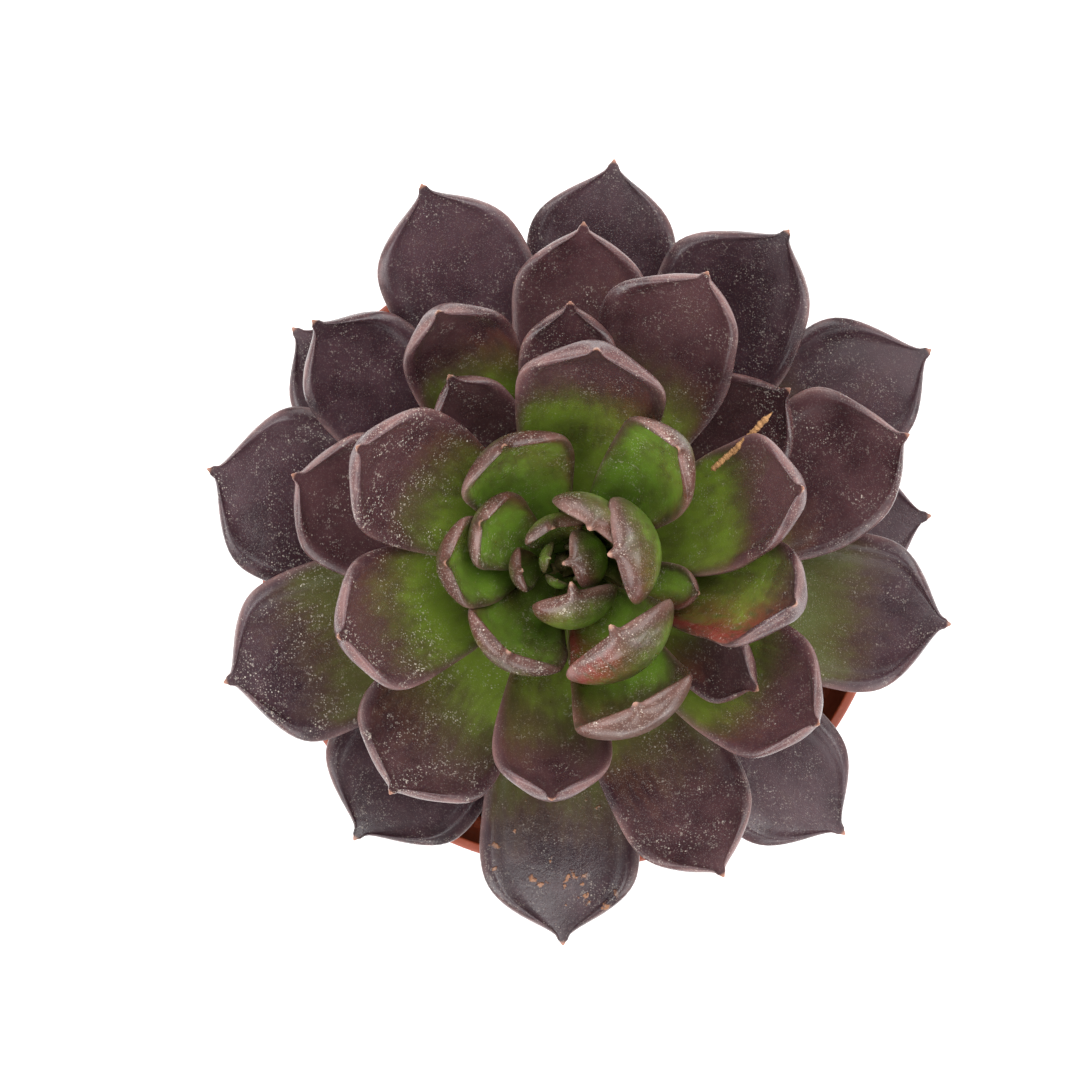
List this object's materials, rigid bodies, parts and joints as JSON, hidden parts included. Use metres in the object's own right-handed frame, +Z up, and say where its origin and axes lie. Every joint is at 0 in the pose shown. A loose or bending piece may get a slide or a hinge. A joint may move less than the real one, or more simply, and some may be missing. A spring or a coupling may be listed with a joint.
{
  "type": "potted succulent",
  "caption": "Rosette succulent with thick pointed dark purple leaves and a green heart, growing on a short stem in a round terracotta-coloured plastic nursery pot with drain holes.",
  "frame": {"origin": "centre of the pot's foot, on the surface it stands on", "axes": "+Z up along the pot's axis; +X and +Y level, with the leaves' azimuths counted from +X towards +Y"},
  "size_m": [0.1172, 0.1248, 0.1574],
  "materials": {
    "pot_plastic": "satin",
    "soil": "matte",
    "stem": "matte",
    "outer_leaf": "satin",
    "middle_leaf": "satin",
    "inner_leaf": "satin",
    "bud_leaf": "satin",
    "twig": "matte"
  },
  "bodies": {
    "root": {"nursery_pot": "pot_plastic", "potting_soil": "soil", "stem": "stem", "outer_leaf_01": "outer_leaf", "outer_leaf_02": "outer_leaf", "outer_leaf_03": "outer_leaf", "outer_leaf_04": "outer_leaf", "outer_leaf_05": "outer_leaf", "outer_leaf_06": "outer_leaf", "outer_leaf_07": "outer_leaf", "outer_leaf_08": "outer_leaf", "outer_leaf_09": "outer_leaf", "outer_leaf_10": "outer_leaf", "outer_leaf_11": "outer_leaf", "outer_leaf_12": "outer_leaf", "outer_leaf_13": "outer_leaf", "middle_leaf_01": "middle_leaf", "middle_leaf_02": "middle_leaf", "middle_leaf_03": "middle_leaf", "middle_leaf_04": "middle_leaf", "middle_leaf_05": "middle_leaf", "middle_leaf_06": "middle_leaf", "middle_leaf_07": "middle_leaf", "middle_leaf_08": "middle_leaf", "middle_leaf_09": "middle_leaf", "middle_leaf_10": "middle_leaf", "middle_leaf_11": "middle_leaf", "middle_leaf_12": "middle_leaf", "middle_leaf_13": "middle_leaf", "middle_leaf_14": "middle_leaf", "middle_leaf_15": "middle_leaf", "middle_leaf_16": "middle_leaf", "middle_leaf_17": "middle_leaf", "middle_leaf_18": "middle_leaf", "inner_leaf_01": "inner_leaf", "inner_leaf_02": "inner_leaf", "inner_leaf_03": "inner_leaf", "inner_leaf_04": "inner_leaf", "inner_leaf_05": "inner_leaf", "inner_leaf_06": "inner_leaf", "inner_leaf_07": "inner_leaf", "inner_leaf_08": "inner_leaf", "inner_leaf_09": "inner_leaf", "inner_leaf_10": "inner_leaf", "inner_leaf_11": "inner_leaf", "inner_leaf_12": "inner_leaf", "inner_leaf_13": "inner_leaf", "inner_leaf_14": "inner_leaf", "bud_leaf_01": "bud_leaf", "bud_leaf_02": "bud_leaf", "bud_leaf_03": "bud_leaf", "bud_leaf_04": "bud_leaf", "dry_twig": "twig"}
  },
  "joints": []
}
